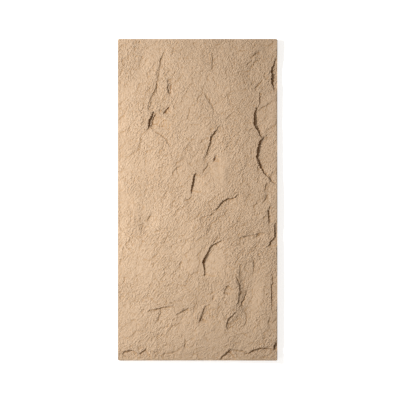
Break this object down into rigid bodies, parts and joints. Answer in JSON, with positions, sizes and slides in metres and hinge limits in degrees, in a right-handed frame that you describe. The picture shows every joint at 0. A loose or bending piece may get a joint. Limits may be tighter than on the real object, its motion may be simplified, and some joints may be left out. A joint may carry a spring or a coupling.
{
  "type": "faux stone wall panel",
  "caption": "Light wall cladding panel of rigid foam, with a moulded split rock face and a plain flat back for bonding.",
  "frame": {"origin": "centre of the flat bonding face, on the floor the panel lies on", "axes": "+Z out of the rock face, +Y along the panel towards the end that is at the top on the wall, +X to the right across the panel as seen from the front"},
  "size_m": [0.595, 1.2, 0.0299],
  "materials": {
    "stone_face": "rigid polyurethane foam with a matt sand-coloured skin that looks like split sandstone"
  },
  "bodies": {
    "root": {"panel": "stone_face"}
  },
  "joints": []
}
